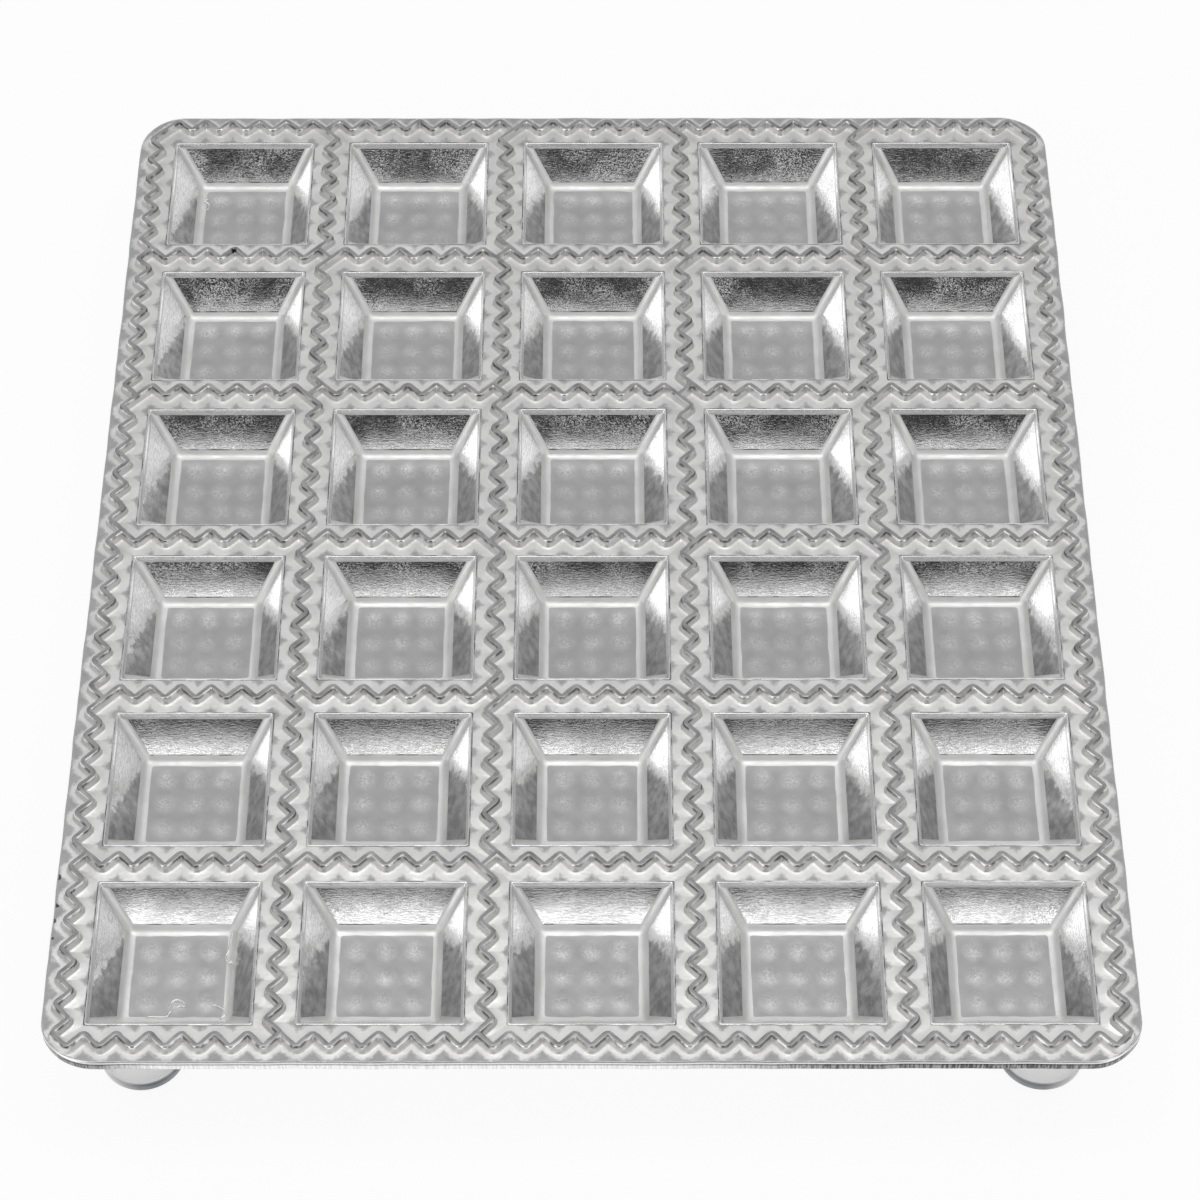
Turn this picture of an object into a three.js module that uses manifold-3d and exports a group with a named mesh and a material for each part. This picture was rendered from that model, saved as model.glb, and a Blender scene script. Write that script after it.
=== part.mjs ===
// Ravioli mould: a die-cast aluminium tray of square pockets on four screwed-on plastic feet.
// Millimetres. X runs along a row of pockets, Y from the front edge to the back, Z up from the table.
// The origin is on the table, under the middle of the tray.
import * as THREE from 'three';
import { mergeVertices } from 'three/addons/utils/BufferGeometryUtils.js';
import Module from 'manifold-3d';

// Tray: the grid of pasta squares
const columns = 5;
const rows = 6;
const raviolo = 40; // side of one pasta square, from ridge line to ridge line
const plateThickness = 2.8;
const cornerRadius = 10;
const edgeLand = 1.45; // flat land from the outermost ridge tips to the edge of the plate

// Zigzag ridges that seal and cut the pasta
const teethPerSide = 6;
const ridgeHeight = 2.0;
const crestWidth = 0.95;
const flankRun = 0.42; // how far a flank leans out over its height

// Pockets for the filling, and the cups that they form below the plate
const rimLand = 1.6; // flat land from the ridge tips to the mouth of a pocket
const pocketDepth = 9;
const wallDraft = 30.5; // degrees that a pocket's walls lean from upright
const cupWall = 2.4;

// Feet
const footInset = 16.4; // from both edges of the plate to a foot's axis
const footHeight = 11.8;
const footBody = 15.4; // diameter
const footBead = 17.2; // diameter of the bead round the bottom
const beadHeight = 2.2;
const beadRound = 0.9;
const footGap = 1.8; // between the cup and the top of the foot
const socketDepth = 4; // how far the boss stands in the foot
const socketClearance = 0.3;

// Cast bosses and screws
const bossDiameter = 9.4;
const pilotRoof = 1.9; // metal left between a pocket's floor and the screw's hole
const screwDiameter = 3.9;
const screwClearance = 0.3;
const screwTipGap = 0.6;
const headDiameter = 7.6;
const headHeight = 2.4;
const headSide = 0.8; // upright part of the head, below its dome
const headDome = [[0.62, 0], [0.9, 0.4], [1, 1]]; // shares of the head's radius and of its dome's height
const tipShare = 0.4; // width of the blunt tip against the shank
const headWeb = 3.5; // plastic between the boss and the screw's head
const headClearance = 0.7;
const recessWidth = 0.9; // cross recess in the head
const recessLength = 4.4;
const recessDepth = 1.2;

// Facets of the round pieces
const cornerFacets = 7;
const footFacets = 24;
const bossFacets = 20;
const screwFacets = 16;
const roundFacets = 2;

// Worked-out sizes
const halfSteps = 2 * teethPerSide + 1; // odd, so that crossing ridges share one slanted step
const step = raviolo / halfSteps;
const crestHalf = crestWidth / 2;
const ridgeReach = step / 2 + (crestHalf + flankRun) * Math.SQRT2; // from a ridge line to its tips
const mouthHalf = raviolo / 2 - ridgeReach - rimLand;
const wallLean = Math.tan(THREE.MathUtils.degToRad(wallDraft));
const cupOffset = cupWall * Math.hypot(1, wallLean);
const halfLength = columns * raviolo / 2 + ridgeReach + edgeLand;
const halfWidth = rows * raviolo / 2 + ridgeReach + edgeLand;

// Levels, from the table up
const socketFloor = footHeight - socketDepth;
const headSeat = socketFloor - headWeb;
const cupBottom = footHeight + footGap;
const pocketFloor = cupBottom + cupWall;
const land = pocketFloor + pocketDepth;
const plateBottom = land - plateThickness;
const crest = land + ridgeHeight;
const pilotTop = pocketFloor - pilotRoof;
const screwTip = pilotTop - screwTipGap;

const wasm = await Module();
wasm.setup();

// A closed three.js geometry as a solid that can be joined and cut
function solidOf(geometry) {
  const bare = geometry.clone();
  bare.deleteAttribute('normal');
  bare.deleteAttribute('uv');
  const merged = mergeVertices(bare);
  return new wasm.Manifold(new wasm.Mesh({
    numProp: 3,
    vertProperties: new Float32Array(merged.attributes.position.array),
    triVerts: new Uint32Array(merged.index.array),
  }));
}

function geometryOf(solid) {
  const mesh = solid.getMesh();
  const geometry = new THREE.BufferGeometry();
  geometry.setAttribute('position', new THREE.BufferAttribute(mesh.vertProperties, 3));
  geometry.setIndex(new THREE.BufferAttribute(mesh.triVerts, 1));
  geometry.computeVertexNormals();
  return geometry;
}

function joined(solids) {
  return solids.reduce((whole, solid) => whole.add(solid));
}

// Calls make(x, y) for the middle of each pocket
function perPocket(make) {
  const made = [];
  for (let row = 0; row < rows; row += 1) {
    for (let column = 0; column < columns; column += 1) {
      const x = (column + 0.5 - columns / 2) * raviolo;
      const y = (row + 0.5 - rows / 2) * raviolo;
      made.push(make(x, y));
    }
  }
  return made;
}

// Calls make(x, y, name) for the axis of each foot
function perFoot(make) {
  const made = [];
  for (const [side, sign] of [['left', -1], ['right', 1]]) {
    for (const [end, along] of [['front', -1], ['rear', 1]]) {
      const x = sign * (halfLength - footInset);
      const y = along * (halfWidth - footInset);
      made.push(make(x, y, `${end}_${side}`));
    }
  }
  return made;
}

// A square block whose sides lean, from its bottom level to its top level
function frustum(x, y, bottom, top, halfAtBottom, halfAtTop) {
  const sides = 4;
  const height = top - bottom;
  const geometry = new THREE.CylinderGeometry(
    halfAtTop * Math.SQRT2, halfAtBottom * Math.SQRT2, height, sides, 1, false, Math.PI / sides);
  geometry.rotateX(Math.PI / 2);
  geometry.translate(x, y, bottom + height / 2);
  return solidOf(geometry);
}

function rod(x, y, bottom, top, diameter, facets) {
  const geometry = new THREE.CylinderGeometry(diameter / 2, diameter / 2, top - bottom, facets);
  geometry.rotateX(Math.PI / 2);
  geometry.translate(x, y, (bottom + top) / 2);
  return solidOf(geometry);
}

// A profile of [radius, height] pairs turned about the Z axis
function turned(profile, facets) {
  const points = profile.map(([radius, height]) => new THREE.Vector2(radius, height));
  const geometry = new THREE.LatheGeometry(points, facets);
  geometry.rotateX(Math.PI / 2);
  return geometry;
}

// The zigzag line round the block of squares between two grid crossings, counter-clockwise.
// Ridge lines swing half a step to either side, and neighbouring lines swing opposite ways, so
// that two lines meet along one whole slanted step.
function zigzagLoop(leftLine, frontLine, rightLine, backLine) {
  const swing = (count) => (count % 2 === 0 ? step / 2 : -step / 2);
  const along = (line, n) => new THREE.Vector2((n - 0.5) * step, line * raviolo + swing(n + line));
  const across = (line, n) => new THREE.Vector2(line * raviolo + swing(n + line), (n - 0.5) * step);
  const counts = (from, to) => {
    const first = from * halfSteps + 1;
    return Array.from({ length: (to - from) * halfSteps }, (_, n) => first + n);
  };
  const rightward = counts(leftLine, rightLine);
  const backward = counts(frontLine, backLine);
  const loop = [
    ...rightward.map((n) => along(frontLine, n)),
    ...backward.map((n) => across(rightLine, n)),
    ...rightward.toReversed().map((n) => along(backLine, n)),
    ...backward.toReversed().map((n) => across(leftLine, n)),
  ];
  const middle = new THREE.Vector2(columns * raviolo / 2, rows * raviolo / 2);
  return cornersOf(loop.map((point) => point.sub(middle)));
}

// Only the points of a loop where it turns
function cornersOf(loop) {
  const nothing = step / 1000;
  const apart = loop.filter((point, n) => point.distanceTo(loop.at(n - 1)) > nothing);
  return apart.filter((point, n) => {
    const before = point.clone().sub(apart.at(n - 1));
    const after = apart[(n + 1) % apart.length].clone().sub(point);
    return Math.abs(before.cross(after)) > nothing * step;
  });
}

// A counter-clockwise loop moved outward, square corners kept sharp; a negative distance moves it in
function grownLoop(loop, distance) {
  return loop.map((point, n) => {
    const before = point.clone().sub(loop.at(n - 1)).normalize();
    const after = loop[(n + 1) % loop.length].clone().sub(point).normalize();
    const outward = new THREE.Vector2(before.y + after.y, -before.x - after.x);
    const mitre = distance / (1 + before.dot(after));
    return point.clone().addScaledVector(outward, mitre);
  });
}

// A block with zigzag sides from a lower loop to an upper loop, drawn to a point above and below
function zigzagBlock(lowerLoop, upperLoop, lower, upper) {
  const count = lowerLoop.length;
  const middle = new THREE.Box2().setFromPoints(lowerLoop).getCenter(new THREE.Vector2());
  const tip = upper - lower;
  const corners = [
    ...lowerLoop.map((point) => new THREE.Vector3(point.x, point.y, lower)),
    ...upperLoop.map((point) => new THREE.Vector3(point.x, point.y, upper)),
    new THREE.Vector3(middle.x, middle.y, lower - tip),
    new THREE.Vector3(middle.x, middle.y, upper + tip),
  ];
  const [lowerTip, upperTip] = [2 * count, 2 * count + 1];
  const faces = [];
  for (let n = 0; n < count; n += 1) {
    const next = (n + 1) % count;
    faces.push(n, next, count + next, n, count + next, count + n);
    faces.push(next, n, lowerTip, count + n, count + next, upperTip);
  }
  const geometry = new THREE.BufferGeometry().setFromPoints(corners);
  geometry.setIndex(faces);
  return solidOf(geometry);
}

// All the ridges as one net with leaning flanks: a block round all the squares, less one for each
// square, cut off level at the crest and inside the plate
function ridges() {
  const root = land - plateThickness / 2;
  const [lower, upper] = [plateBottom, crest + ridgeHeight];
  const halfAt = (level) => crestHalf + flankRun * (crest - level) / ridgeHeight;
  const block = (loop, side) => zigzagBlock(
    grownLoop(loop, side * halfAt(lower)), grownLoop(loop, side * halfAt(upper)), lower, upper);
  const squares = [];
  for (let row = 0; row < rows; row += 1) {
    for (let column = 0; column < columns; column += 1) {
      squares.push(block(zigzagLoop(column, row, column + 1, row + 1), -1));
    }
  }
  const level = new THREE.BoxGeometry(2 * halfLength, 2 * halfWidth, crest - root);
  level.translate(0, 0, (crest + root) / 2);
  return block(zigzagLoop(0, 0, columns, rows), 1)
    .subtract(joined(squares))
    .intersect(solidOf(level));
}

// The flat plate with rounded corners
function plate() {
  const outline = new THREE.Shape();
  const x = halfLength - cornerRadius;
  const y = halfWidth - cornerRadius;
  const quarter = Math.PI / 2;
  outline.absarc(x, -y, cornerRadius, -quarter, 0);
  outline.absarc(x, y, cornerRadius, 0, quarter);
  outline.absarc(-x, y, cornerRadius, quarter, 2 * quarter);
  outline.absarc(-x, -y, cornerRadius, 2 * quarter, 3 * quarter);
  const geometry = new THREE.ExtrudeGeometry(outline, {
    depth: plateThickness,
    bevelEnabled: false,
    curveSegments: cornerFacets,
  });
  geometry.translate(0, 0, plateBottom);
  return solidOf(geometry);
}

// The tray as it leaves the die: plate, ridges, cups and bosses, then the pockets and screw holes
function mouldPlate() {
  const halfAt = (level) => mouthHalf - (land - level) * wallLean;
  const intoPlate = plateBottom + plateThickness / 2;
  const cup = (x, y) => frustum(
    x, y, cupBottom, intoPlate, halfAt(cupBottom) + cupOffset, halfAt(intoPlate) + cupOffset);
  const pocketTop = land + ridgeHeight / 2;
  const pocket = (x, y) => frustum(
    x, y, pocketFloor, pocketTop, halfAt(pocketFloor), halfAt(pocketTop));
  const boss = (x, y) => rod(x, y, socketFloor, intoPlate, bossDiameter, bossFacets);
  const pilotDiameter = screwDiameter + 2 * screwClearance;
  const pilot = (x, y) => rod(x, y, headSeat, pilotTop, pilotDiameter, screwFacets);
  return joined([plate(), ridges(), ...perPocket(cup), ...perFoot(boss)])
    .subtract(joined(perPocket(pocket)))
    .subtract(joined(perFoot(pilot)));
}

// A foot: beaded bottom edge, socket for the boss above, well for the screw's head below
function footGeometry() {
  const socket = bossDiameter / 2 + socketClearance;
  const bore = screwDiameter / 2 + screwClearance;
  const well = headDiameter / 2 + headClearance;
  const bead = footBead / 2;
  const body = footBody / 2;
  const profile = [[well, 0]];
  for (let n = 0; n <= roundFacets; n += 1) {
    const turn = Math.PI / 2 * n / roundFacets;
    profile.push([
      bead - beadRound + beadRound * Math.sin(turn),
      beadRound - beadRound * Math.cos(turn),
    ]);
  }
  profile.push(
    [bead, beadHeight - (bead - body)],
    [body, beadHeight],
    [body, footHeight],
    [socket, footHeight],
    [socket, socketFloor],
    [bore, socketFloor],
    [bore, headSeat],
    [well, headSeat],
    [well, 0],
  );
  return turned(profile, footFacets);
}

// A pan-head self-tapping screw, head down, with a cross recess
function screwGeometry() {
  const head = headDiameter / 2;
  const shank = screwDiameter / 2;
  const headBottom = headSeat - headHeight;
  const domeHeight = headHeight - headSide;
  const profile = [
    [0, headBottom],
    ...headDome.map(([across, up]) => [head * across, headBottom + domeHeight * up]),
    [head, headSeat],
    [shank, headSeat],
    [shank, screwTip - shank],
    [shank * tipShare, screwTip],
    [0, screwTip],
  ];
  const slot = (length, width) => {
    const box = new THREE.BoxGeometry(length, width, 2 * recessDepth);
    box.translate(0, 0, headBottom);
    return solidOf(box);
  };
  const cross = slot(recessLength, recessWidth).add(slot(recessWidth, recessLength));
  return geometryOf(solidOf(turned(profile, screwFacets)).subtract(cross));
}

const aluminium = new THREE.MeshStandardMaterial({ color: 0xc9cacc, roughness: 0.32, metalness: 1 });
const whitePlastic = new THREE.MeshStandardMaterial({ color: 0xf0f0ee, roughness: 0.4, metalness: 0 });
const zincPlatedSteel = new THREE.MeshStandardMaterial({ color: 0xb9bcc0, roughness: 0.3, metalness: 1 });

function named(name, geometry, material) {
  const mesh = new THREE.Mesh(geometry, material.clone());
  mesh.name = name;
  return mesh;
}

const group = new THREE.Group();
group.add(named('mould_plate', geometryOf(mouldPlate()), aluminium));
perFoot((x, y, name) => {
  const corner = new THREE.Group();
  corner.position.set(x, y, 0);
  corner.add(named(`foot_${name}`, footGeometry(), whitePlastic));
  corner.add(named(`foot_screw_${name}`, screwGeometry(), zincPlatedSteel));
  group.add(corner);
});

export default group;
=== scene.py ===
import math

import bpy
import numpy as np
from mathutils import Matrix, Vector, noise
from mathutils.geometry import delaunay_2d_cdt


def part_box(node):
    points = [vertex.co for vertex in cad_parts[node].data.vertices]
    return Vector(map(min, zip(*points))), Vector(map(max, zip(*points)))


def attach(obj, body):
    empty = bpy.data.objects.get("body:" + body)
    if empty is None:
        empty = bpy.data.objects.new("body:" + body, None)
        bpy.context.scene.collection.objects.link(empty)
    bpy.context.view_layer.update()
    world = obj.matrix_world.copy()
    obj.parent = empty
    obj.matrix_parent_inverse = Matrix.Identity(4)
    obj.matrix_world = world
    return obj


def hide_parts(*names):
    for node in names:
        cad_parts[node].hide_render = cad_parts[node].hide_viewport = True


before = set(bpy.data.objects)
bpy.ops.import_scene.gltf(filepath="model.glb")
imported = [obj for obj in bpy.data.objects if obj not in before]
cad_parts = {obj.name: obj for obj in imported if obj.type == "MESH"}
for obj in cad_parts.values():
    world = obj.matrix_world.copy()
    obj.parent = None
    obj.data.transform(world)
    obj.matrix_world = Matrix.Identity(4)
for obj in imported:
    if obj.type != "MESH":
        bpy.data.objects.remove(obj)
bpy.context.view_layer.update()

# The tray: one aluminium die casting with 30 square pockets and zigzag sealing ridges between them.
# The die leaves a bright skin on the pocket walls and a frosty one on the land, fillets and underside.
# Sizes are in millimetres; the casting stands where the frame's mould_plate does.
MM = 0.001
columns = 5
rows = 6
raviolo = 40.0
half_steps = 13
step = raviolo / half_steps
plate_low, plate_high = (np.array(corner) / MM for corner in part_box("mould_plate"))
half_length, half_width, crest = plate_high
boss_bottom = plate_low[2]

ridge_height = 2.0
cove_start = 1.05
cove_height = 0.165
outer_cove_height = 0.05
cove_reach = 3.4
outer_cove_reach = 2.5
ridge_profile = [
    (0.0, ridge_height),
    (0.37, 1.985),
    (0.54, 1.87),
    (0.64, 1.60),
    (0.86, 0.50),
    (0.95, 0.28),
]
inner_cove_end = 1.62
outer_cove_end = 1.32
bend_points = 4
bend_round = 0.7
crossing_round = 0.45
valley_round = 0.2
straight_turn = 0.5

pocket_depth = 9.0
wall_lean = math.tan(math.radians(30.5))
mouth_half = 15.6
mouth_corner = 0.35
wall_corner = 1.5
rim_round = 0.18
rim_depth = 0.75
rim_lean = math.tan(math.radians(16))
floor_round = 2.2
floor_corner = 0.5
floor_waver = 0.2
floor_waver_length = 1.7
wall_top_share = 0.05
wall_foot_share = 0.03
seam_gap = 0.22
seam_width = 0.2
seam_depth = 0.06
seam_margin = 0.12
dome_radius = 2.8
dome_height = 0.12
dome_pitch = 5.7
dome_facets = 8
dome_shares = (1.0, 0.7, 0.38, 0.0)
# Where the painted dark reflection on the pocket side walls starts: a line from the floor up to the lip, in
# millimetres, that shifts with the pocket's place in the tray
mirror_dark_foot = 8.3
mirror_dark_lip = -4.0
mirror_dark_lip_outward = -7.5
mirror_dark_lip_inward = 2.0
mirror_dark_lip_rearward = -3.5
plate_thickness = 2.8
plate_corner = 10.0
edge_waver = 0.35
edge_waver_length = 6.0
edge_round_top = 0.35
edge_round_bottom = 0.6
edge_corner_steps = 12
edge_side_steps = 90
edge_margin = 0.1
border_share = 0.7
cup_wall = 2.4
cup_corner = 3.2
cup_fillet = 1.3
cup_round = 1.6
boss_radius = 4.7
boss_chamfer = 0.4
boss_root = 1.0
boss_facets = 36
pilot_radius = 2.25
pilot_depth = 6.3
pilot_facets = 24

# Flaws of this casting: threads of flash in two pockets, as the pocket's middle and a path over its floor,
# nicks in the left edge, drawn only as painted shade, and a dark spot on a ridge
flash_radius = 0.16
flash_lift = 0.6
flash_facets = 6
flash_threads = [
    ((-80, -100), [(9.7, 10.4), (9.6, 8.7), (9.4, 7.1), (9.3, 5.6), (8.8, 4.6), (8.8, 3.9), (9.2, 2.9),
                   (9.7, 2.6), (10.0, 3.4), (9.7, 4.6)]),
    ((-80, -100), [(-6.1, -9.2), (-4.7, -9.0), (-2.9, -9.1), (-1.5, -9.1), (-1.3, -8.3), (-0.7, -7.7),
                   (-1.2, -6.7), (-0.8, -5.6), (0.0, -5.2), (0.9, -5.5), (1.6, -6.1), (1.8, -7.0),
                   (0.7, -6.5), (-0.2, -7.5)]),
    ((-80, -100), [(6.6, -6.5), (7.4, -6.5), (8.4, -6.9), (9.1, -7.5), (9.5, -8.3), (9.3, -9.2),
                   (8.1, -9.4)]),
    ((-80, 100), [(-8.4, 6.6), (-9.2, 6.4), (-9.9, 6.0), (-9.0, 5.6), (-8.4, 4.7), (-8.5, 3.6),
                  (-8.9, 3.0)]),
]
nicks = [(-103.7, -83.1), (-103.6, -89.5), (-103.7, -93.0), (-103.7, -96.9)]
dark_spot = (-80.3, 80.7)

# One seed, so that ridges and floors waver in the same way on every run
noise.seed_set(30)

land = crest - ridge_height
pocket_floor = land - pocket_depth
floor_half = mouth_half - pocket_depth * wall_lean
plate_bottom = land - plate_thickness
cup_bottom = pocket_floor - cup_wall
cup_offset = cup_wall * math.hypot(1, wall_lean)

# Finishes, as numbers of the tray's material slots, and the reach that makes the skin pale all over
SKIN, RIDGE, WALL, FLOOR, SEAM, EDGE, LIP = range(7)
LIGHT_SKIN = 2.0


class CastSkin:
    """The casting's points and faces as they are laid, row by row, each row to the left of the last."""

    places_per_mm = 500

    def __init__(self):
        self.points = []
        self.reach = []
        self.rise = []
        self.faces = []
        self.finish = []
        self.known = {}

    def row(self, points, reach, rise=0.0):
        """Lays points, or finds those that are there already, and returns their numbers."""
        numbers = []
        reach = np.broadcast_to(reach, len(points))
        rise = np.broadcast_to(rise, len(points))
        for point, far, up in zip(points, reach, rise):
            key = tuple(round(value * self.places_per_mm) for value in point)
            if key not in self.known:
                self.known[key] = len(self.points)
                self.points.append(tuple(point))
                self.reach.append(far)
                self.rise.append(up)
            numbers.append(self.known[key])
        return numbers

    def face(self, corners, finish):
        kept = list(dict.fromkeys(corners))
        if len(kept) > 2:
            self.faces.append(kept)
            self.finish.append(finish)

    def band(self, first, second, finish):
        """Faces between two closed rows of as many points, with one finish or a finish for each face."""
        finishes = np.broadcast_to(finish, len(first))
        for n in range(len(first)):
            after = (n + 1) % len(first)
            self.face([first[n], first[after], second[after], second[n]], int(finishes[n]))

    def bands(self, rows_of_points, finish):
        for first, second in zip(rows_of_points, rows_of_points[1:]):
            self.band(first, second, finish)

    def zip_band(self, first, second, middle, finish):
        """Triangles between two closed rows of different counts, matched by turn about a middle."""
        turns = [self.turns(row, middle) for row in (first, second)]
        way = np.sign(np.sum((np.diff(turns[0]) + math.pi) % math.tau - math.pi))
        start = turns[0][0]
        places = [np.mod(way * (turn - start) + 1e-6, math.tau) for turn in turns]
        lead = int(np.argmin(places[1]))
        second = list(np.roll(second, -lead))
        ahead = list(places[0]) + [math.tau], list(np.roll(places[1], -lead)) + [math.tau]
        one, two = 0, 0
        while one < len(first) or two < len(second):
            a = first[one % len(first)]
            b = second[two % len(second)]
            if two == len(second) or (one < len(first) and ahead[0][one + 1] <= ahead[1][two + 1]):
                one += 1
                self.face([a, first[one % len(first)], b], finish)
            else:
                two += 1
                self.face([a, second[two % len(second)], b], finish)

    def turns(self, row, middle):
        spread = np.array([self.points[n][:2] for n in row]) - middle
        return np.arctan2(spread[:, 1], spread[:, 0])

    def fill(self, outline, holes, finish, facing):
        """Triangles over a flat area inside an outline and outside its holes, facing up (1) or down (-1)."""
        loops = [outline, *holes]
        numbers = [n for loop in loops for n in loop]
        owners = [which for which, loop in enumerate(loops) for _ in loop]
        edges = []
        for loop in loops:
            first = len(edges)
            edges += [(first + n, first + (n + 1) % len(loop)) for n in range(len(loop))]
        flat = [Vector(self.points[n][:2]) for n in numbers]
        found, _, faces, origin, _, _ = delaunay_2d_cdt(flat, edges, [], 1, 1e-5)
        for corners in faces:
            a, b, c = (found[n] for n in corners)
            order = corners if (b - a).cross(c - a) * facing > 0 else corners[::-1]
            laid = [origin[n][0] for n in order]
            in_a_hole = owners[laid[0]] > 0 and len({owners[n] for n in laid}) == 1
            if not in_a_hole:
                self.face([numbers[n] for n in laid], finish)


def ridge_line(left, front, right, back):
    """The zigzag round the squares between two grid crossings, counter-clockwise, seen from above."""
    def swing(count):
        return step / 2 if count % 2 == 0 else -step / 2

    rightward = range(left * half_steps + 1, right * half_steps + 1)
    backward = range(front * half_steps + 1, back * half_steps + 1)
    line = [((n - 0.5) * step, front * raviolo + swing(n + front)) for n in rightward]
    line += [(right * raviolo + swing(n + right), (n - 0.5) * step) for n in backward]
    line += [((n - 0.5) * step, back * raviolo + swing(n + back)) for n in reversed(rightward)]
    line += [(left * raviolo + swing(n + left), (n - 0.5) * step) for n in reversed(backward)]
    block_half = np.array((columns, rows)) * raviolo / 2
    line = np.array(line) - block_half
    apart = np.linalg.norm(line - np.roll(line, 1, axis=0), axis=1) > step / 100
    return line[apart]


def place_key(point):
    """A bend's place in hundredths of a millimetre, so that bends at one place share a key."""
    return tuple(np.round(np.array(point) * 100).astype(int))


def find_crossings():
    """The bends where more than two zigzags meet, which stay sharp in the middle of the ridge."""
    visits = {}
    lines = [ridge_line(0, 0, columns, rows)]
    for row in range(rows):
        lines += [ridge_line(column, row, column + 1, row + 1) for column in range(columns)]
    for line in lines:
        for point in line:
            visits[place_key(point)] = visits.get(place_key(point), 0) + 1
    return {key for key, count in visits.items() if count > 2}


crossings = find_crossings()


def row_beside(line, distance):
    """The line that keeps a distance to the left of a ridge line, with its bends rounded."""
    before = line - np.roll(line, 1, axis=0)
    before /= np.linalg.norm(before, axis=1, keepdims=True)
    after = np.roll(before, -1, axis=0)
    points = []
    for corner, arrive, leave in zip(line, before, after):
        turn = arrive[0] * leave[1] - arrive[1] * leave[0]
        out = np.array((-arrive[1], arrive[0]))
        both_out = out + (-leave[1], leave[0])
        at_crossing = place_key(corner) in crossings
        if abs(turn) < straight_turn:
            points.append(corner + distance * out)
            continue
        if turn < 0:
            inset = crossing_round if at_crossing else bend_round
            radius = inset + distance
        else:
            radius = -max(valley_round, 0 if at_crossing else bend_round - distance)
            inset = radius - distance
        if at_crossing and distance == 0:
            radius, inset = 0, 0
        heading = math.atan2(out[1], out[0])
        for angle in heading + math.copysign(math.pi / 2, turn) * np.linspace(0, 1, bend_points):
            away = np.array((math.cos(angle), math.sin(angle)))
            points.append(corner - inset * both_out + radius * away)
    return np.array(points)


def distance_to(line, points):
    """How far points lie from a closed line."""
    span = np.roll(line, -1, axis=0) - line
    away = points[:, None] - line
    share = np.clip((away * span).sum(2) / (span ** 2).sum(1), 0, 1)
    return np.linalg.norm(away - share[..., None] * span, axis=2).min(1)


def cove(distance, top):
    """Height of the gentle sweep from a ridge's foot out to the flat land."""
    share = np.clip((cove_reach - distance) / (cove_reach - cove_start), 0, 1)
    return top * share ** 2


def at_height(points, height):
    return np.column_stack((points, np.broadcast_to(height, len(points))))


def circle_of(facets, way=1):
    """Points round a circle of radius 1, counter-clockwise from above, or clockwise for a way of -1."""
    turns = way * np.linspace(0, math.tau, facets, endpoint=False)
    return np.column_stack((np.cos(turns), np.sin(turns)))


def onto_outline(points, half, corner):
    """Points moved straight out or in to the outline of a rounded rectangle."""
    reach = np.broadcast_to(half, 2) - corner
    core = np.clip(points, -reach, reach)
    out = points - core
    return core + corner * out / np.linalg.norm(out, axis=1, keepdims=True)


def ring(half, corner, corner_steps, side_steps):
    """Points round a rounded rectangle, counter-clockwise: each corner's arc, then the side after it."""
    reach = np.broadcast_to(half, 2) - corner
    points = []
    for quarter in range(4):
        sign = [(1, -1), (1, 1), (-1, 1), (-1, -1)][quarter]
        turns = math.pi / 2 * (quarter - 1 + np.linspace(0, 1, corner_steps + 1))
        points += list(reach * sign + corner * np.column_stack((np.cos(turns), np.sin(turns))))
        next_sign = [(1, 1), (-1, 1), (-1, -1), (1, -1)][quarter]
        side_end = reach * next_sign + corner * np.array((math.cos(turns[-1]), math.sin(turns[-1])))
        shares = np.linspace(0, 1, side_steps + 1)[1:-1, None]
        points += list(points[-1] + shares * (side_end - points[-1]))
    return np.array(points)


def eased(profile, rounds, steps):
    """A profile's inner corners, each as the points of its rounding, in order."""
    points = []
    corners = [np.array(point, float) for point in profile]
    for before, corner, after, radius in zip(corners, corners[1:], corners[2:], rounds):
        arrive = (corner - before) / np.linalg.norm(corner - before)
        leave = (after - corner) / np.linalg.norm(after - corner)
        turn = math.acos(np.clip(arrive @ leave, -1, 1))
        side = (leave - arrive * (arrive @ leave)) / math.sin(turn)
        start = corner - arrive * radius * math.tan(turn / 2)
        for angle in np.linspace(0, turn, steps + 1):
            points.append(start + radius * (math.sin(angle) * arrive + (1 - math.cos(angle)) * side))
    return points


def ridge_rows(skin, line, cove_end, cove_top):
    """One side of a ridge from its middle line down to the land, and the cove's first rows."""
    rows_of_points = []
    for distance, height in ridge_profile:
        points = at_height(row_beside(line, distance), land + height)
        rows_of_points.append(skin.row(points, distance))
    skin.bands(rows_of_points, RIDGE)
    cove_points = [rows_of_points[-1]]
    for distance in (cove_start, cove_end):
        points = at_height(row_beside(line, distance), land + cove(distance, cove_top))
        cove_points.append(skin.row(points, distance))
    skin.bands(cove_points, SKIN)
    return row_beside(line, cove_end), cove_points[-1]


def land_rows(skin, line, edge_row, edge_numbers, border, settling):
    """The land from the cove's end to a border with as many points, where it may settle to be flat."""
    rows_of_points = [edge_numbers]
    for share in (0.5, 1):
        points = edge_row + share * (border - edge_row)
        distance = distance_to(line, points)
        cove_top = cove_height if settling else outer_cove_height
        height = land + cove(distance, cove_top) * (1 - settling * share ** 3)
        flatness = distance if settling else distance + cove_reach - outer_cove_reach
        rows_of_points.append(skin.row(at_height(points, height), flatness))
    skin.bands(rows_of_points, SKIN)
    return rows_of_points[-1]


corner_steps = 3
side_steps = 7
quarter_steps = corner_steps + side_steps
wall_columns = ([SKIN] * corner_steps + [WALL] * side_steps) * 4
seam_columns = [SKIN] * (quarter_steps + corner_steps) + [SEAM] * side_steps + [SKIN] * 2 * quarter_steps


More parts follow.
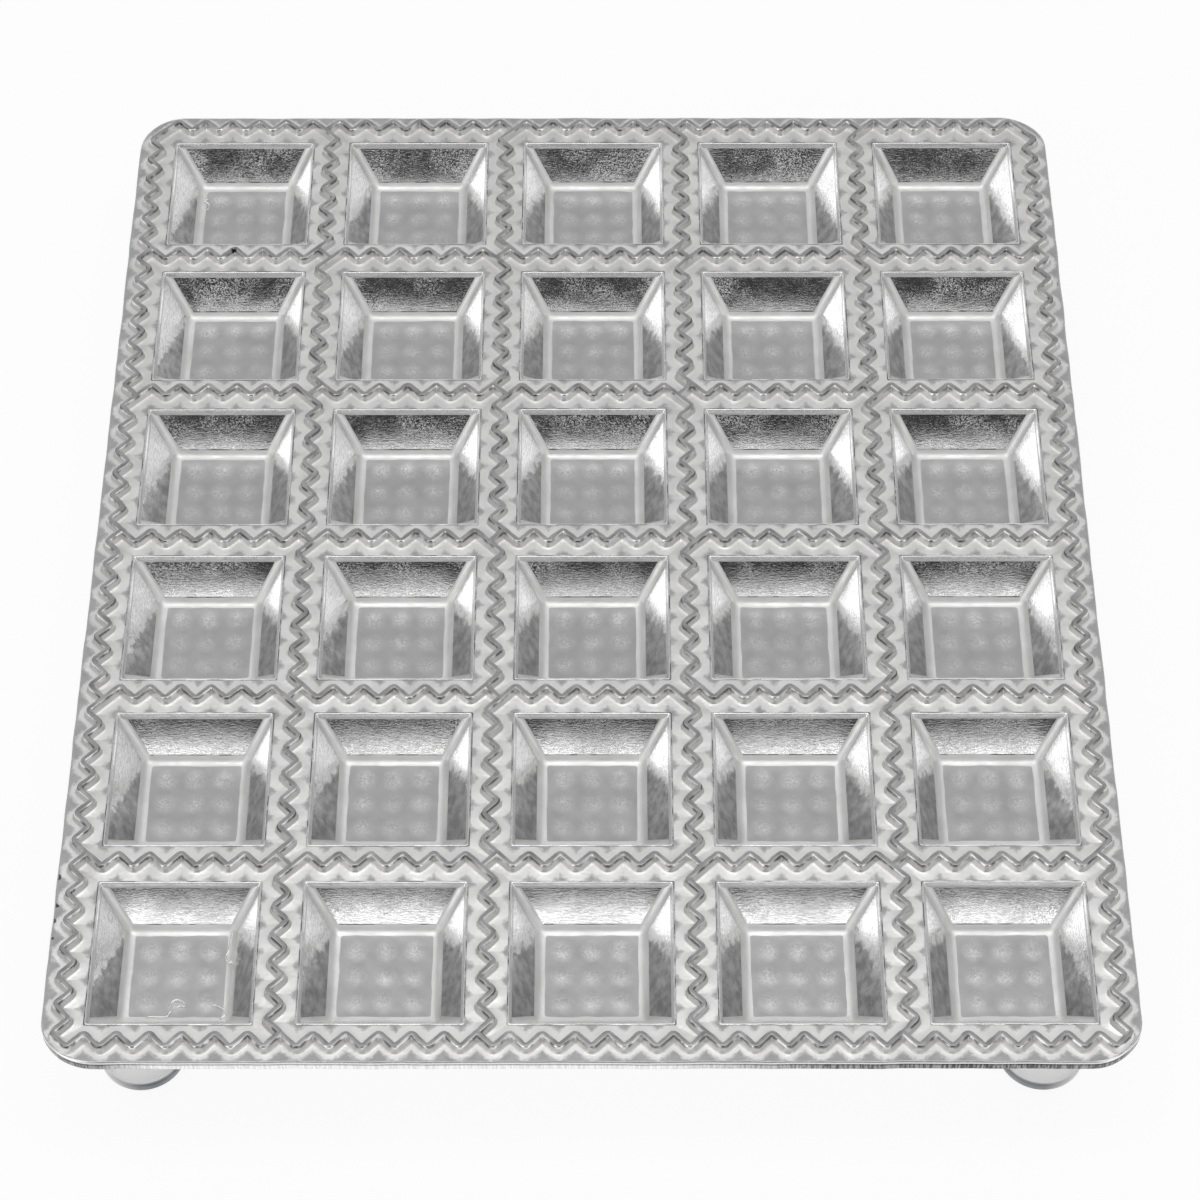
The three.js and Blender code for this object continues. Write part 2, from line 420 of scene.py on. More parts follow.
def painted_reflection_on(middle, place, height, foot_height):
    """How far places on a side wall lie in front of the slanting line where the painted dark reflection on
    it starts.
    """
    outward = np.sign(place[:, 0]) * middle[0] / (raviolo * (columns - 1) / 2)
    rearward = middle[1] / (raviolo * (rows - 1) / 2)
    at_lip = mirror_dark_lip + np.where(outward > 0, mirror_dark_lip_outward, -mirror_dark_lip_inward) * outward
    at_lip = at_lip + mirror_dark_lip_rearward * rearward
    share = (height - foot_height) / (land - foot_height)
    border = mirror_dark_foot + share * (at_lip - mirror_dark_foot)
    on_side = np.abs(place[:, 0]) > np.abs(place[:, 1])
    return np.where(on_side, border - place[:, 1], -half_width)


def lay_pocket(skin, middle, line):
    """One pasta square: its half of the ridges, the land, the rim, the walls and the domed floor."""
    edge_row, edge_numbers = ridge_rows(skin, line, inner_cove_end, cove_height)
    rim_end = (mouth_half - rim_depth * rim_lean, land - rim_depth)
    seam_start = mouth_half + seam_gap + seam_width
    seam_middle = (seam_start - seam_width / 2, land - seam_depth)
    seam = [(seam_start, land), seam_middle, (mouth_half + seam_gap, land)]
    lip = eased([(mouth_half + 1, land), (mouth_half, land), rim_end], [rim_round], 2)
    foot = eased([rim_end, (floor_half, pocket_floor), (0, pocket_floor)], [floor_round], 4)
    wall_top = rim_end + wall_top_share * (foot[0] - rim_end)
    foot.insert(0, foot[0] + wall_foot_share * (wall_top - foot[0]))
    border = middle + onto_outline(edge_row - middle, seam_start + seam_margin, mouth_corner)
    border_numbers = land_rows(skin, line, edge_row, edge_numbers, border, 1)

    rings = []
    for half, height in [*seam, *lip, rim_end, wall_top, *foot]:
        corner = mouth_corner
        if height <= wall_top[1]:
            share = max(0, (foot[0][0] - half) / (foot[0][0] - foot[-1][0]))
            corner = wall_corner + share * (floor_corner - wall_corner)
        place = ring(half, corner, corner_steps, side_steps)
        reach = cove_reach if height == land else LIGHT_SKIN
        on_wall = foot[0][1] <= height <= wall_top[1]
        # Side-wall places keep how far they lie in front of the line where the painted dark reflection
        # starts
        painted_mirror_dark = painted_reflection_on(middle, place, height, foot[0][1]) if on_wall else 0.0
        if height == foot[-1][1]:
            spots = [Vector((*point, 0)) / floor_waver_length for point in middle + place]
            place = place + floor_waver * np.array([noise.noise_vector(spot)[:2] for spot in spots])
        rings.append(skin.row(at_height(middle + place, height), reach, painted_mirror_dark))
    rim = len(seam) - 1
    top = rim + len(lip) + 2
    skin.zip_band(border_numbers, rings[0], middle, SKIN)
    skin.bands(rings[:rim + 1], SEAM)
    skin.bands(rings[rim:top], LIP)
    skin.band(rings[top - 1], rings[top], SKIN)
    skin.band(rings[top], rings[top + 1], wall_columns)
    skin.band(rings[top + 1], rings[top + 2], seam_columns)
    skin.bands(rings[top + 2:], SKIN)

    domes = []
    for across in (-dome_pitch, 0, dome_pitch):
        for along in (-dome_pitch, 0, dome_pitch):
            dome_rows = []
            for share in dome_shares:
                points = middle + (across, along) + share * dome_radius * circle_of(dome_facets)
                height = pocket_floor + dome_height * (1 + math.cos(math.pi * share)) / 2
                dome_rows.append(skin.row(at_height(points, height), LIGHT_SKIN, 1 - share))
            skin.bands(dome_rows, FLOOR)
            domes.append(dome_rows[0])
    skin.fill(rings[-1], domes, FLOOR, 1)


def floor_level(place):
    """Height of a pocket's floor, or of the fillets round it, at places from the pocket's middle."""
    flat_half = floor_half - floor_round * math.tan((math.pi / 2 - math.atan(wall_lean)) / 2)
    out = np.clip(np.abs(place).max(axis=1) - flat_half, 0, floor_round)
    return pocket_floor + floor_round - np.sqrt(floor_round ** 2 - out ** 2)


def lay_thread(skin, middle, path):
    """A curled thread of flash that lies on a pocket's floor."""
    path = np.array(path)
    for _ in range(2):
        cut = np.repeat(path, 2, axis=0)
        pairs = cut[1:-1].reshape(-1, 2, 2)
        path = (0.75 * pairs + 0.25 * pairs[:, ::-1]).reshape(-1, 2)
    ahead = np.gradient(path, axis=0)
    ahead /= np.linalg.norm(ahead, axis=1, keepdims=True)
    rings = []
    for place, heading, level in zip(path, ahead, floor_level(path)):
        sideways, upward = circle_of(flash_facets).T
        across = np.outer(sideways, (-heading[1], heading[0]))
        heights = level + flash_radius * (flash_lift + upward)
        points = at_height(np.array(middle) + place + flash_radius * across, heights)
        rings.append(skin.row(points, LIGHT_SKIN))
    skin.bands(rings, LIP)
    skin.face(rings[0][::-1], LIP)
    skin.face(rings[-1], LIP)


def cup_rings(middle):
    """Rings of points down the outside of a cup, from the plate's underside in to the cup's bottom."""
    def half_at(height):
        return mouth_half - (land - height) * wall_lean + cup_offset

    corners = [(half_at(plate_bottom) + 3, plate_bottom), (half_at(plate_bottom), plate_bottom),
               (half_at(cup_bottom), cup_bottom), (0, cup_bottom)]
    profile = eased(corners, [cup_fillet, cup_round], 3)
    return [at_height(middle + ring(half, cup_corner, corner_steps, 2)[::-1], height)
            for half, height in profile]


def lay_cup(skin, middle):
    """The outside of a pocket's cup below the plate; returns the row where it leaves the plate."""
    rings = [skin.row(points, LIGHT_SKIN) for points in cup_rings(middle)]
    skin.bands(rings, SKIN)
    skin.face(rings[-1], SKIN)
    return rings[0]


def linked(name, points, faces):
    """A mesh object in the scene, from points and faces."""
    mesh = bpy.data.meshes.new(name)
    mesh.from_pydata(points, [], faces)
    thing = bpy.data.objects.new(name, mesh)
    bpy.context.scene.collection.objects.link(thing)
    return thing


def solid_from(name, rings, tubular=False):
    """A closed mesh object from rings of points; a tubular one's last ring meets its first."""
    count = len(rings[0])
    faces = []
    for level in range(len(rings) - (not tubular)):
        low = level * count
        high = (level + 1) % len(rings) * count
        for n in range(count):
            after = (n + 1) % count
            faces.append([low + n, low + after, high + after, high + n])
    if not tubular:
        last = (len(rings) - 1) * count
        faces.append(list(range(count))[::-1])
        faces.append(list(range(last, last + count)))
    return linked(name, np.concatenate(rings).tolist(), faces)


def cut_or_join(solid, tool, operation):
    """Joins a tool solid to a solid, or cuts it away, and removes the tool."""
    change = solid.modifiers.new(operation, "BOOLEAN")
    change.operation = operation
    change.solver = "EXACT"
    change.object = tool
    changed = bpy.data.meshes.new_from_object(solid.evaluated_get(bpy.context.evaluated_depsgraph_get()))
    solid.modifiers.clear()
    solid.data = changed
    bpy.data.objects.remove(tool)


def rod_rings(middle, profile, facets):
    """Rings of a turned rod about an upright axis, clockwise from above, so that they run downward."""
    circle = circle_of(facets, -1)
    return [at_height(middle + radius * circle, height) for radius, height in profile]


def lay_corner_cup(skin, middle, axis):
    """A corner cup with the cast boss that a foot plugs on to, drilled for the foot's screw."""
    rings = cup_rings(middle)
    cup = solid_from("corner_cup", rings)
    boss_profile = [(boss_radius, pocket_floor - boss_root), (boss_radius, boss_bottom + boss_chamfer),
                    (boss_radius - boss_chamfer, boss_bottom)]
    boss = rod_rings(axis, boss_profile, boss_facets)
    cut_or_join(cup, solid_from("boss", boss), "UNION")
    pilot_profile = [(pilot_radius, boss_bottom + pilot_depth), (pilot_radius, boss_bottom - 1)]
    pilot = rod_rings(axis, pilot_profile, pilot_facets)
    cut_or_join(cup, solid_from("pilot", pilot), "DIFFERENCE")
    numbers = skin.row([tuple(vertex.co) for vertex in cup.data.vertices], LIGHT_SKIN)
    level = 0.99
    slack = 0.01
    for polygon in cup.data.polygons:
        on_top = polygon.normal.z >= level and polygon.center.z >= plate_bottom - slack
        if not on_top:
            skin.face([numbers[n] for n in polygon.vertices], SKIN)
    bpy.data.objects.remove(cup)
    return skin.row(rings[0], LIGHT_SKIN)


def axis_of(node):
    """Where the middle of a node of the frame stands, seen from above."""
    low, high = (np.array(corner[:2]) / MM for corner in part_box(node))
    return (low + high) / 2


def lay_tray():
    """The whole casting: squares and cups, flash, the border ridge's outer half and the plate's edge."""
    skin = CastSkin()
    hems = []
    foot_place = np.abs(axis_of("foot_front_left"))
    for row in range(rows):
        for column in range(columns):
            middle = (np.array((column, row)) + 0.5 - np.array((columns, rows)) / 2) * raviolo
            lay_pocket(skin, middle, ridge_line(column, row, column + 1, row + 1))
            if column in (0, columns - 1) and row in (0, rows - 1):
                hems.append(lay_corner_cup(skin, middle, np.sign(middle) * foot_place))
            else:
                hems.append(lay_cup(skin, middle))

    for middle, path in flash_threads:
        lay_thread(skin, middle, path)

    outer_line = ridge_line(0, 0, columns, rows)[::-1]
    edge_row, edge_numbers = ridge_rows(skin, outer_line, outer_cove_end, outer_cove_height)
    outline = np.array((half_length, half_width))
    inset = edge_round_top + edge_margin
    brink = onto_outline(edge_row, outline - inset, plate_corner - inset)
    border = edge_row + border_share * (brink - edge_row)
    border_numbers = land_rows(skin, outer_line, edge_row, edge_numbers, border, 0)
    profile = eased([(-3, land), (0, land), (0, plate_bottom), (-3, plate_bottom)],
                    [edge_round_top, edge_round_bottom], 2)
    rings = []
    for out, height in [(-inset, land), *profile]:
        points = ring(outline + out, plate_corner + out, edge_corner_steps, edge_side_steps)[::-1]
        spots = [Vector((*point, 0)) / edge_waver_length for point in points]
        trim = [0.5 + 0.5 * noise.noise(spot) for spot in spots]
        points = points * (1 - edge_waver * np.array(trim)[:, None] / outline)
        distance = distance_to(outer_line, points)
        lift = (height - plate_bottom) / plate_thickness
        raised = height + cove(distance, outer_cove_height) * lift
        flatness = distance + cove_reach - outer_cove_reach if height == land else LIGHT_SKIN
        rings.append(skin.row(at_height(points, raised), flatness))
    skin.zip_band(border_numbers, rings[0], np.zeros(2), SKIN)
    skin.bands(rings[:2], SKIN)
    skin.bands(rings[1:-1], EDGE)
    skin.bands(rings[-2:], SKIN)
    skin.fill(rings[-1], hems, SKIN, -1)
    return skin


def rippled(points, reach):
    """Ridges as they come out of a worn die: wavering a little and never quite level."""
    waver = 0.05
    long_wave = 2.7
    short_wave = 0.9
    sag = 0.09
    sag_length = 6.0
    fade = 0.6
    for n, far in enumerate(reach):
        if far < inner_cove_end and points[n][2] > land:
            place = Vector(points[n])
            strength = min(1.0, (inner_cove_end - far) / fade)
            drift = noise.noise_vector(place / long_wave) * waver
            drift += noise.noise_vector(place / short_wave) * waver / 2
            level = 0.5 + 0.5 * noise.noise(place / sag_length)
            points[n] = (place.x + drift.x * strength, place.y + drift.y * strength,
                         land + (place.z - land) * (1 - sag * level / ridge_height))


def piece_from(name, points, faces, materials):
    """A smooth-shaded mesh object in the frame's place, from points in millimetres."""
    piece = linked(name, (np.array(points) * MM).tolist(), faces)
    for material in materials:
        piece.data.materials.append(material)
    piece.data.polygons.foreach_set("use_smooth", [True] * len(faces))
    return piece


def new_finish(name, metallic):
    """An empty finish: its material, its node tree and its shader."""
    material = bpy.data.materials.new(name)
    material.use_nodes = True
    tree = material.node_tree
    shader = tree.nodes["Principled BSDF"]
    shader.inputs["Metallic"].default_value = metallic
    return material, tree, shader


def grain(tree, scale, detail, stretch=(1, 1, 1)):
    """A noise pattern fixed to the piece; scale is in patches per metre."""
    place = tree.nodes.new("ShaderNodeTexCoord")
    mapping = tree.nodes.new("ShaderNodeMapping")
    mapping.inputs["Scale"].default_value = stretch
    texture = tree.nodes.new("ShaderNodeTexNoise")
    texture.inputs["Scale"].default_value = scale
    texture.inputs["Detail"].default_value = detail
    tree.links.new(place.outputs["Object"], mapping.inputs["Vector"])
    tree.links.new(mapping.outputs["Vector"], texture.inputs["Vector"])
    return texture.outputs["Fac"]


def grey(level):
    return (level, level, level)


def ramp(tree, value, stops):
    """Colours along a value, as (place, colour) stops."""
    node = tree.nodes.new("ShaderNodeValToRGB")
    while len(node.color_ramp.elements) < len(stops):
        node.color_ramp.elements.new(0.5)
    for element, (place, colour) in zip(node.color_ramp.elements, stops):
        element.position = place
        element.color = (*colour, 1)
    tree.links.new(value, node.inputs["Fac"])
    return node.outputs["Color"]


def spread(tree, value, low, high, to_low, to_high):
    """A value's range stretched on to another range."""
    node = tree.nodes.new("ShaderNodeMapRange")
    for socket, number in zip(("From Min", "From Max", "To Min", "To Max"), (low, high, to_low, to_high)):
        node.inputs[socket].default_value = number
    tree.links.new(value, node.inputs["Value"])
    return node.outputs["Result"]


def mottled(tree, scale, detail, dark, light, low=0.3, high=0.7):
    """A colour that goes from dark to light with a grain."""
    return ramp(tree, grain(tree, scale, detail), [(low, dark), (high, light)])


def varied(tree, scale, detail, low, high):
    """A number that goes from low to high with a grain."""
    return spread(tree, grain(tree, scale, detail), 0.3, 0.7, low, high)


def coat(tree, shader, tone, roughness):
    tree.links.new(tone, shader.inputs["Base Color"])
    tree.links.new(roughness, shader.inputs["Roughness"])


def mixed(tree, share, first, second, blend="MIX"):
    """Two colours mixed; share and the colours are numbers, colours or sockets."""
    node = tree.nodes.new("ShaderNodeMix")
    node.data_type = "RGBA"
    node.blend_type = blend
    for socket, value in ((node.inputs[0], share), (node.inputs[6], first), (node.inputs[7], second)):
        if isinstance(value, bpy.types.NodeSocket):
            tree.links.new(value, socket)
        elif isinstance(value, tuple):
            socket.default_value = (*value, 1)
        else:
            socket.default_value = value
    return node.outputs[2]


def bumped(tree, shader, layers):
    """Bumps of (height socket, strength, depth in metres), each on top of the last."""
    normal = None
    for height, strength, depth in layers:
        node = tree.nodes.new("ShaderNodeBump")
        node.inputs["Strength"].default_value = strength
        node.inputs["Distance"].default_value = depth
        tree.links.new(height, node.inputs["Height"])
        if normal:
            tree.links.new(normal, node.inputs["Normal"])
        normal = node.outputs["Normal"]
    tree.links.new(normal, shader.inputs["Normal"])


def named_value(tree, name):
    """A value stored on the piece's points."""
    node = tree.nodes.new("ShaderNodeAttribute")
    node.attribute_name = name
    return node.outputs["Fac"]


def place_parts(tree, kind="Object"):
    """The coordinates of a place on the piece, in metres, or the parts of a direction in the room."""
    place = tree.nodes.new("ShaderNodeTexCoord")
    parts = tree.nodes.new("ShaderNodeSeparateXYZ")
    tree.links.new(place.outputs[kind], parts.inputs[0])
    return parts.outputs["X"], parts.outputs["Y"], parts.outputs["Z"]


def combined(tree, operation, first, second):
    """Two numbers or sockets put through one step of arithmetic."""
    node = tree.nodes.new("ShaderNodeMath")
    node.operation = operation
    for socket, value in zip(node.inputs, (first, second)):
        if isinstance(value, bpy.types.NodeSocket):
            tree.links.new(value, socket)
        else:
            socket.default_value = value
    return node.outputs[0]


def near_places(tree, places, height, size):
    """1 close to places at a height, 0 away from them, with a ragged border; all in millimetres."""
    rag = 0.8 * size * MM
    ragged = varied(tree, 900, 3, -rag, rag)
    near = 0.0
    for spot in places:
        place = tree.nodes.new("ShaderNodeTexCoord")
        away = tree.nodes.new("ShaderNodeVectorMath")
        away.operation = "DISTANCE"
        away.inputs[1].default_value = Vector((*spot, height)) * MM
        tree.links.new(place.outputs["Object"], away.inputs[0])
        distance = combined(tree, "ADD", away.outputs["Value"], ragged)
        inside = spread(tree, distance, 1.2 * size * MM, 0.8 * size * MM, 0, 1)
        near = combined(tree, "MAXIMUM", near, inside)
    return near


def frosty_skin():
    """Land, coves, fillets and underside: as cast and pale, with the flat land painted darker and less
    metallic as a painted reflection of the darker room ahead, and painted shade in the nicks of the left
    edge.
    """
    material, tree, shader = new_finish("frosty_cast_skin", 1.0)
    pale = mottled(tree, 160, 4, (0.76, 0.755, 0.75), (0.88, 0.875, 0.87))
    # Painted reflection: the darker tone of the flat land stands in for the dark room it mirrors; the pale
    # tone is the skin's own
    dull = mottled(tree, 420, 3, (0.38, 0.38, 0.385), grey(0.49))
    ragged = combined(tree, "ADD", named_value(tree, "reach"), varied(tree, 1100, 4, -0.35, 0.35))
    flat = spread(tree, ragged, cove_reach - 0.85, cove_reach, 0, 1)
    clean = mixed(tree, flat, pale, dull)
    # Painted shade: each nick in the left edge is a near-black spot of colour, not a notch in the shape
    nick_shade = mixed(tree, near_places(tree, nicks, land, 0.5), clean, (0.07, 0.065, 0.06))
    coat(tree, shader, nick_shade, varied(tree, 300, 2, 0.41, 0.55))
    tree.links.new(spread(tree, flat, 0, 1, 1, 0.4), shader.inputs["Metallic"])
    bumped(tree, shader, [(grain(tree, 350, 3), 0.35, 0.0002), (grain(tree, 1000, 2), 0.45, 0.0001),
                          (grain(tree, 2600, 2), 0.25, 0.00005)])
    return material


def ridge_metal():
    """Ridges: frosty flanks, a crest painted dark as a painted reflection of the darker room above, and
    rounded edges that use has rubbed smooth, with painted glints in bright and dark patches.
    """
    material, tree, shader = new_finish("rubbed_ridge_painted_glints", 1.0)
    reach = named_value(tree, "reach")
    # Painted reflection: the crest is painted dark where it would mirror the darker room above and ahead
    crest_painted_dark = mottled(tree, 300, 4, (0.24, 0.24, 0.245), grey(0.47))
    flank_tone = ramp(tree, reach, [(0.62, grey(0.88)), (0.72, (0.79, 0.78, 0.77))])
    # Painted glints: bright and dark patches on the rounded edges stand in for broken highlights and dark
    # reflections
    patches = mottled(tree, 380, 3, grey(0.24), grey(1.0), 0.42, 0.56)
    edge_tone = mixed(tree, spread(tree, reach, 0.72, 0.62, 0, 1), flank_tone,
                      mixed(tree, 1.0, flank_tone, patches, "MULTIPLY"))
    off_crest = spread(tree, reach, 0.34, 0.46, 0, 1)
    clean = mixed(tree, off_crest, crest_painted_dark, edge_tone)
    # A near-black spot of colour on one ridge's crest
    dark_spotted = mixed(tree, near_places(tree, [dark_spot], crest, 0.65), clean, grey(0.01))
    tree.links.new(spread(tree, off_crest, 0, 1, 0.4, 1), shader.inputs["Metallic"])
    rubbed = ramp(tree, reach, [(0.32, grey(0.30)), (0.46, grey(0.12)), (0.60, grey(0.12)),
                                (0.70, grey(0.40))])
    coat(tree, shader, dark_spotted, rubbed)
    bumped(tree, shader, [(grain(tree, 500, 3), 0.25, 0.00012), (grain(tree, 2200, 2), 0.15, 0.00004)])
    return material


def bright_wall():
    """Pocket walls: a bright die finish with fine level streaks and small pits, and a painted dark
    reflection over the front of each side wall.
    """
    material, tree, shader = new_finish("bright_pocket_wall", 1.0)
    streaks = grain(tree, 800, 4, (1, 1, 6))
    streaky = ramp(tree, streaks, [(0.36, grey(0.80)), (0.54, grey(1))])
    clouds = mottled(tree, 110, 3, grey(0.92), grey(1), 0.40, 0.58)
    tone = mixed(tree, 1.0, streaky, clouds, "MULTIPLY")
    # Painted reflection: the front of each side wall is painted dark where it would mirror a dark part of
    # the room
    painted_mirror_dark = mottled(tree, 500, 4, (0.37, 0.37, 0.375), grey(0.61), 0.35, 0.65)
    ragged = combined(tree, "ADD", named_value(tree, "rise"), varied(tree, 600, 3, -2.0, 2.0))
    painted_reflection_share = spread(tree, ragged, -0.5, 1.8, 0, 1)
    coat(tree, shader, mixed(tree, painted_reflection_share, tone, painted_mirror_dark), varied(tree, 900, 3, 0.05, 0.14))
    pits = mottled(tree, 2600, 3, grey(0), grey(1), 0.50, 0.75)
    pitted = combined(tree, "MULTIPLY", pits, spread(tree, grain(tree, 120, 2), 0.44, 0.62, 0.15, 1))
    bumped(tree, shader, [(grain(tree, 160, 3), 0.22, 0.0002), (streaks, 0.6, 0.00004),
                          (pitted, 0.6, 0.00005)])
    return material


def dull_floor():
    """Pocket floors: dull, with nine low domes painted lighter with painted glints, strongest toward the
    back of each pocket as painted light.
    """
    material, tree, shader = new_finish("dull_pocket_floor", 0.7)
    plain = mottled(tree, 260, 3, (0.53, 0.53, 0.533), grey(0.61))
    # Painted glints and painted light: the domes are speckled light in colour, more toward each pocket's
    # back, where more light falls
    painted_sparkle = mottled(tree, 2700, 2, grey(0.62), grey(0.98), 0.38, 0.64)
    _, backward, _ = place_parts(tree)
    behind = combined(tree, "FLOORED_MODULO", backward, raviolo * MM)
    half = raviolo / 2
    lit_at_back = spread(tree, behind, (half - floor_half) * MM, (half + floor_half) * MM, 0.5, 1)
    cloudy = spread(tree, grain(tree, 330, 2), 0.35, 0.65, 0.45, 1)
    on_dome = combined(tree, "MULTIPLY", spread(tree, named_value(tree, "rise"), 0, 0.75, 0, 1),
                       combined(tree, "MULTIPLY", lit_at_back, cloudy))
    coat(tree, shader, mixed(tree, on_dome, plain, painted_sparkle), varied(tree, 150, 1, 0.28, 0.33))
    bumped(tree, shader, [(grain(tree, 400, 1), 0.12, 0.0002)])
    return material


def parting_line():
    """The witness line that the die's inserts leave round a pocket: a fine groove, dark in places."""
    material, tree, shader = new_finish("dark_witness_line", 1.0)
    tone = mottled(tree, 300, 4, (0.15, 0.15, 0.155), grey(0.62), 0.42, 0.56)
    coat(tree, shader, tone, varied(tree, 800, 2, 0.25, 0.45))
    return material


def filed_edge():
    """The plate's edge, where flash was filed off: bright with upright marks, painted dark to the right and
    at the far left, and with a grey band below the top, as painted reflections.
    """
    material, tree, shader = new_finish("filed_plate_edge", 1.0)
    rightward, _, height = place_parts(tree)
    level = spread(tree, height, plate_bottom * MM, land * MM, 0, 1)
    marks = grain(tree, 2800, 3, (1, 1, 0.12))
    bright = ramp(tree, marks, [(0.40, grey(0.78)), (0.60, grey(0.96))])
    # Painted reflection: the dark tone to the right and at the far left stands in for dark things the edge
    # mirrors
    dull = ramp(tree, marks, [(0.40, (0.06, 0.06, 0.065)), (0.60, (0.34, 0.34, 0.345))])
    dark_reflection_share = combined(tree, "MAXIMUM", spread(tree, rightward, 0.012, 0.045, 0, 1),
                          spread(tree, rightward, -0.082, -0.094, 0, 1))
    filed = mixed(tree, dark_reflection_share, bright, dull)
    # Painted reflection: the grey band below the top stands in for a dark reflection along the edge
    line = ramp(tree, level, [(0.60, grey(1)), (0.72, (0.45, 0.45, 0.46)), (0.82, (0.45, 0.45, 0.46)),
                              (0.87, grey(1))])
    worn = mixed(tree, spread(tree, level, 0.82, 0.87, 0, 1), filed, grey(0.92))
    coat(tree, shader, mixed(tree, 1.0, worn, line, "MULTIPLY"), varied(tree, 900, 3, 0.10, 0.28))
    bumped(tree, shader, [(grain(tree, 900, 3), 0.15, 0.00006)])
    return material


def bright_lip():
    """The rounded edge of a pocket's mouth, rubbed bright by use, and the threads of flash."""
    material, tree, shader = new_finish("rubbed_lip", 1.0)
    tone = mottled(tree, 500, 3, grey(0.80), grey(0.95))
    coat(tree, shader, tone, varied(tree, 900, 3, 0.14, 0.30))
    bumped(tree, shader, [(grain(tree, 450, 2), 0.5, 0.0001), (grain(tree, 1500, 3), 0.3, 0.00004)])
    return material


skin = lay_tray()
rippled(skin.points, skin.reach)
tray = piece_from("tray_casting", skin.points, skin.faces,
                  [frosty_skin(), ridge_metal(), bright_wall(), dull_floor(), parting_line(), filed_edge(),
                   bright_lip()])
tray.data.polygons.foreach_set("material_index", skin.finish)
tray.data.attributes.new("reach", "FLOAT", "POINT").data.foreach_set("value", skin.reach)
tray.data.attributes.new("rise", "FLOAT", "POINT").data.foreach_set("value", skin.rise)
flat_faces = tray.modifiers.new("flat_faces", "WEIGHTED_NORMAL")
flat_faces.weight = 50
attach(tray, "root")
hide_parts("mould_plate")

# The feet: four white plastic mouldings that hold the tray off the table, each pushed on to a cast boss.
# A bead runs round the bottom edge, and a well in the underside takes the head of the foot's screw.
foot_corners = ["front_left", "front_right", "rear_left", "rear_right"]
foot_low, foot_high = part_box("foot_front_left")
foot_top = foot_high[2] / MM
bead_radius = (foot_high[0] - foot_low[0]) / MM / 2
bead_lean = 0.2
bead_shoulder = 0.4
bead_height = 2.2
body_radius = 7.7
socket_radius = 5.0
bore_radius = 2.25
well_radius = 4.5
head_seat = 4.3
foot_facets = 64
foot_outline = [
    (well_radius, head_seat / 2),
    (well_radius, 0),
    (bead_radius - bead_lean, 0),
    (bead_radius, bead_height - bead_shoulder),
    (body_radius, bead_height),
    (body_radius, foot_top),
    (socket_radius, foot_top),
    (socket_radius, boss_bottom),
    (bore_radius, boss_bottom),
    (bore_radius, head_seat),
    (well_radius, head_seat),
    (well_radius, head_seat / 2),
]
foot_rounds = [0.3, 0.3, 0.3, 0.2, 0.5, 0.3, 0.15, 0.15, 0.15, 0.2]
foot_profile = eased(foot_outline, foot_rounds, 4)


def white_plastic():
    """Moulded plastic: glossy white, a little wavy, with painted grey shade on the bead's inner side."""
    material, tree, shader = new_finish("white_moulded_plastic", 0.0)
    white = mottled(tree, 220, 3, (0.96, 0.96, 0.955), (0.99, 0.99, 0.985))
    # Painted shade: the bead's inner side, toward the tray's middle, is painted grey where it would be in
    # shade
    painted_shade_grey = mottled(tree, 150, 3, (0.20, 0.21, 0.24), (0.36, 0.37, 0.39))
    rightward, _, height = place_parts(tree)
    axis = abs(axis_of("foot_front_left")[0])
    on_bead = spread(tree, height, (bead_height - 0.1) * MM, (bead_height - 0.25) * MM, 0, 1)
    sideways = combined(tree, "ABSOLUTE", rightward, 0)
    inner = spread(tree, sideways, (axis + 0.9 * body_radius) * MM, axis * MM, 0, 1)
    painted_shade_share = combined(tree, "MULTIPLY", on_bead, inner)
    coat(tree, shader, mixed(tree, painted_shade_share, white, painted_shade_grey), varied(tree, 500, 3, 0.30, 0.45))
    shader.inputs["Subsurface Weight"].default_value = 0.15
    shader.inputs["Subsurface Radius"].default_value = (0.002, 0.002, 0.002)
    bumped(tree, shader, [(grain(tree, 300, 2), 0.15, 0.0002), (grain(tree, 3000, 2), 0.1, 0.00003)])
    return material


def placed(solid, axis, material):
    """A solid in millimetres as a piece of the frame: on its axis, smooth but for its sharp edges."""
    sharp_edge = math.radians(35)
    solid.data.transform(Matrix.Scale(MM, 4) @ Matrix.Translation((*axis, 0)))
    solid.data.materials.append(material)
    solid.data.polygons.foreach_set("use_smooth", [True] * len(solid.data.polygons))
    solid.data.set_sharp_from_angle(angle=sharp_edge)
    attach(solid, "root")
    return solid


foot_finish = white_plastic()
for corner in foot_corners:
    rings = rod_rings(np.zeros(2), foot_profile[::-1], foot_facets)
    foot = placed(solid_from("plastic_foot_" + corner, rings, True), axis_of("foot_" + corner), foot_finish)
    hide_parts("foot_" + corner)

# The screws: zinc-plated pan-head self-tapping screws, driven up through the feet into the bosses.
# Each has a rolled thread with a blunt tip, and a cross recess pressed into its head.
head_bottom, screw_tip = (corner[2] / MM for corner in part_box("foot_screw_front_left"))
head_radius = 3.8
head_side = 0.8
head_flat_share = 0.12
head_fullness = 0.8
head_steps = 9
head_break = 0.1
neck_round = 0.25
thread_radius = 1.95
root_radius = 1.5
thread_pitch = 1.4
thread_start = head_seat + 0.6
thread_levels = 12
tooth_top = 1.25
tooth_slope = 3.2
tip_length = 2.2
tip_share = 0.35
tip_flat_share = 0.3
recess_length = 4.2
recess_width = 0.85
recess_depth = 1.2
recess_mouth_share = 1.05
recess_end_share = 0.55
recess_taper = 0.6
screw_facets = 32


